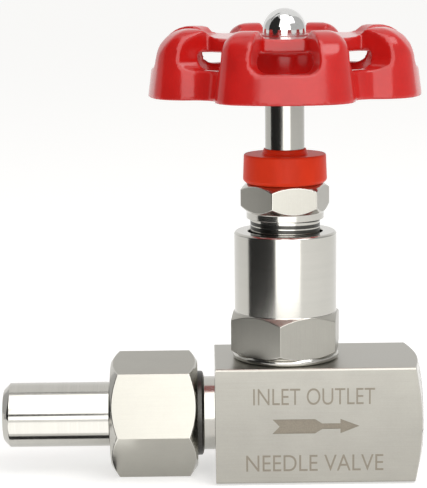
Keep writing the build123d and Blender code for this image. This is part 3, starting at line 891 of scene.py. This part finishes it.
class VALVE_OT_gland(bpy.types.Operator):
    """Packing nut with its thread, and its red cap"""

    bl_idname = "valve.gland"
    bl_label = "Packing nut and cap"

    def execute(self, context):
        threads = settings().threads
        major, pitch = threads.gland_major, threads.gland_pitch
        nut_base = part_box("packing_nut")[0].z
        collar_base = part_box("bonnet")[1].z + GLAND_THREAD_SHOWING
        pitch_line = major - PITCH_LINE_DROP * pitch
        root = major - threads.gap - THREAD_DEPTH * pitch
        machined(
            "packing_hexagon", "packing_nut", "gland_nut", ("turned_z", "flats_z"),
            flats=(2, GLAND_FLAT_REACH), slot="turned_stainless",
            wall=((2, nut_base - MM, collar_base + 0.02 * MM, pitch_line - 0.5 * MM,
                   pitch_line + 0.1 * MM, root),),
        )
        start = nut_base + 0.4 * MM
        screw_thread(
            "gland_thread", "gland_nut",
            Matrix.Translation((0, 0, start)),
            male_form(major, pitch, (collar_base - 0.15 * MM - start) / pitch),
            finish_for("gland_thread"),
        )
        machined(
            "packing_cap", "packing_nut_cap", "gland_nut", ("plastic",),
            width=settings().edges.moulded, slot="red_plastic",
        )
        return {"FINISHED"}


class VALVE_OT_handwheel(bpy.types.Operator):
    """Cast handwheel: remeshed and smoothed so that every edge is soft under its enamel"""

    bl_idname = "valve.handwheel"
    bl_label = "Handwheel"

    def execute(self, context):
        edges = settings().edges
        made = plain_object(
            "wheel_casting", merged_copy("handwheel", "wheel_casting"), finish_for("enamel"),
        )
        grid = made.modifiers.new("grid", "REMESH")
        grid.mode = "VOXEL"
        grid.voxel_size = edges.voxel
        grid.use_smooth_shade = True
        softer = made.modifiers.new("softer", "SMOOTH")
        softer.factor = 0.5
        softer.iterations = edges.casting_smoothing
        baked(made)
        made.data.materials.clear()
        made.data.materials.append(finish_for("enamel"))
        made.data.shade_smooth()
        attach(made, "spindle")
        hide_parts("handwheel")
        return {"FINISHED"}


class VALVE_OT_spindle(bpy.types.Operator):
    """Polished stem and the dome nut that holds the wheel"""

    bl_idname = "valve.spindle"
    bl_label = "Stem and dome nut"

    def execute(self, context):
        machined("stem_shaft", "stem", "spindle", ("stem",), slot="polished_stainless")
        machined("dome_nut", "acorn_nut", "spindle", ("plating",), slot="chrome_plate")
        return {"FINISHED"}


class VALVE_OT_packing(bpy.types.Operator):
    """Packing rings, with soft edges and a braided finish"""

    bl_idname = "valve.packing"
    bl_label = "Packing rings"

    def execute(self, context):
        names = ("packing_ring_lower", "packing_ring_middle", "packing_ring_upper")
        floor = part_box(names[0])[0].z
        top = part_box(names[-1])[1].z
        travel = next(
            joint["range_m"][1] for joint in frame["joints"] if joint["name"] == "gland_press"
        )
        for node in names:
            mesh = merged_copy(node, node + "_braid")
            soften(mesh, 0.2 * MM)
            made = shade(plain_object(node + "_braid", mesh, finish_for("packing")))
            1 - travel / (top - floor)
            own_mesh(made)
            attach(made, "body")
            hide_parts(node)
        return {"FINISHED"}


class VALVE_OT_inner(bpy.types.Operator):
    """Finishes for the small inner pieces that keep their CAD shapes"""

    bl_idname = "valve.inner"
    bl_label = "Inner pieces"

    def execute(self, context):
        for node, key in (
            ("bonnet_gasket", "copper"), ("needle_tip", "hard"), ("needle_snap_ring", "hard"),
            ("packing_base_washer", "hard"), ("gland_follower", "turned_z"),
            ("wheel_flat_washer", "hard"), ("wheel_spring_washer", "hard"),
            ("nipple_gasket", "gasket"),
        ):
            mesh = frame["nodes"][node].data
            mesh.materials.clear()
            mesh.materials.append(finish_for(key))
        return {"FINISHED"}


# ---- Stage ----
def card(name, corners, material):
    """A flat card that only mirrors see."""
    mesh = bpy.data.meshes.new(name)
    faces = [tuple(range(first, first + 4)) for first in range(0, len(corners), 4)]
    mesh.from_pydata([Vector(corner) * MM for corner in corners], [], faces)
    made = plain_object(name, mesh, material)
    made.visible_camera = False
    made.visible_diffuse = False
    made.visible_shadow = False
    made.visible_transmission = False
    return made


def upright_card(left, right, low, high):
    """Corners of a standing card between two floor points, in millimetres."""
    return [(*left, low), (*right, low), (*right, high), (*left, high)]


class VALVE_OT_stage(bpy.types.Operator):
    """Pale floor, even white light, the cards that the metal mirrors, and the camera"""

    bl_idname = "valve.stage"
    bl_label = "Stage"

    def execute(self, context):
        stage = settings().stage
        floor_mesh = bpy.data.meshes.new("floor")
        reach, level = 8.0, CAD_BOX[0].z - 0.02 * MM
        floor_mesh.from_pydata(
            [(-reach, -reach, level), (reach, -reach, level), (reach, reach, level),
             (-reach, reach, level)], [], [(0, 1, 2, 3)],
        )
        floor_finish = pale_floor("pale_floor", settings().colours.floor, stage.floor_glow)
        plain_object("floor", floor_mesh, floor_finish)

        world = bpy.data.worlds.new("studio")
        context.scene.world = world
        world.use_nodes = True
        sky = world.node_tree.nodes["Background"]
        sky.inputs["Color"].default_value = (1.0, 0.997, 0.99, 1.0)
        sky.inputs["Strength"].default_value = stage.ambient

        bright = glowing_card("bright_card", stage.reflector)
        dark = glowing_card("dark_card", 0.03)
        pale = glowing_card("pale_card", stage.fill)
        over = [(-120, -205, 420), (118, -205, 420), (118, -10, 520), (-120, -10, 520)]
        card(
            "front_reflector",
            upright_card((-88, -205), (118, -205), 0, 420)
            + upright_card((-120, -205), (-88, -205), 160, 420) + over,
            bright,
        )
        front_foot = [(-88, -205, 0.5), (118, -205, 0.5), (100, -172, 0.5), (-74, -172, 0.5)]
        beside_tube = [(-86, -62, 0.5), (-33, -62, 0.5), (-33, -12.5, 0.5), (-86, -12.5, 0.5)]
        card("floor_cards", front_foot + beside_tube, glowing_card("soft_card", 2.0))
        flag_foot = [(-92, -206, 0.6), (-150, -60, 0.6), (-137, -55, 0.6), (-83, -187, 0.6)]
        side_foot = [(-150, -60, 0.6), (-150, 2, 0.6), (-137, 2, 0.6), (-137, -55, 0.6)]
        card(
            "left_flag",
            upright_card((-92, -206), (-150, -60), 0, 160)
            + upright_card((-124, -206), (-150, -60), 160, 420)
            + upright_card((-150, -60), (-150, 2), 0, 420) + flag_foot + side_foot,
            dark,
        )
        roof = [(-260, 230, 180), (260, 230, 180), (260, 20, 520), (-260, 20, 520)]
        card("back_card", upright_card((-260, 230), (260, 230), 20, 180) + roof, pale)
        card(
            "nipple_lines",
            upright_card((-125, -200), (-45, -200), 42, 72)
            # The strip on the floor beside the tube is painted shadow: a dark sheet where the floor lies in
            # the tube's shade, seen only in the tube's reflection.
            + [(-75, -9.8, 0.7), (-37, -9.8, 0.7), (-37, -6.4, 0.7), (-75, -6.4, 0.7)]
            + [(-120, 18, 180), (-20, 18, 180), (-20, 26, 180), (-120, 26, 180)],
            dark,
        )

        key = bpy.data.lights.new("key", "AREA")
        key.shape = "RECTANGLE"
        key.size, key.size_y = 0.5, 0.35
        key.energy = stage.key
        lamp = bpy.data.objects.new("key", key)
        lamp.location = (0.22, -0.30, 0.55)
        aim = Vector((0, 0, 0.06)) - lamp.location
        lamp.rotation_mode = "QUATERNION"
        lamp.rotation_quaternion = aim.to_track_quat("-Z", "Y")
        context.scene.collection.objects.link(lamp)

        yaw, pitch, roll = stage.camera_turn
        level_ahead = Vector((math.sin(yaw), math.cos(yaw), 0))
        ahead = level_ahead * math.cos(pitch) - Vector((0, 0, math.sin(pitch)))
        level_right = Vector((math.cos(yaw), -math.sin(yaw), 0))
        level_up = level_right.cross(ahead)
        right = level_right * math.cos(roll) + level_up * math.sin(roll)
        up = level_up * math.cos(roll) - level_right * math.sin(roll)
        turn = Matrix((right, up, -ahead)).transposed().to_4x4()
        view = bpy.data.cameras.new("camera")
        view.lens = stage.lens
        view.sensor_width = 36.0
        view.clip_start, view.clip_end = 0.01, 40.0
        holder = bpy.data.objects.new("camera", view)
        holder.matrix_world = Matrix.Translation(Vector(stage.camera)) @ turn
        context.scene.collection.objects.link(holder)
        context.scene.camera = holder
        context.scene.view_settings.view_transform = "Standard"
        context.scene.view_settings.look = "None"
        return {"FINISHED"}


class VALVE_PT_panel(bpy.types.Panel):
    """Lists the steps and the settings"""

    bl_idname = "VALVE_PT_panel"
    bl_label = "Needle valve"
    bl_space_type = "VIEW_3D"
    bl_region_type = "UI"
    bl_category = "Valve"

    def draw(self, context):
        for step in STEPS:
            self.layout.operator(step.bl_idname)
        valve = context.scene.needle_valve
        for group in (valve.threads, valve.edges, valve.colours, valve.stage):
            box = self.layout.box()
            for name in group.__annotations__:
                box.prop(group, name)


STEPS = (
    VALVE_OT_bar, VALVE_OT_marks, VALVE_OT_union, VALVE_OT_bonnet, VALVE_OT_gland,
    VALVE_OT_handwheel, VALVE_OT_spindle, VALVE_OT_packing, VALVE_OT_inner, VALVE_OT_stage,
)
CLASSES = (ThreadSizes, EdgeSizes, FinishColours, StageSizes, ValveSettings, *STEPS, VALVE_PT_panel)


def register():
    for each in CLASSES:
        bpy.utils.register_class(each)
    bpy.types.Scene.needle_valve = bpy.props.PointerProperty(type=ValveSettings)


def unregister():
    del bpy.types.Scene.needle_valve
    for each in reversed(CLASSES):
        bpy.utils.unregister_class(each)


def main():
    register()
    bpy.ops.valve.bar()
    bpy.ops.valve.marks()
    bpy.ops.valve.union()
    bpy.ops.valve.bonnet()
    bpy.ops.valve.gland()
    bpy.ops.valve.handwheel()
    bpy.ops.valve.spindle()
    bpy.ops.valve.packing()
    bpy.ops.valve.inner()
    bpy.ops.valve.stage()


if __name__ == "__main__":
    main()
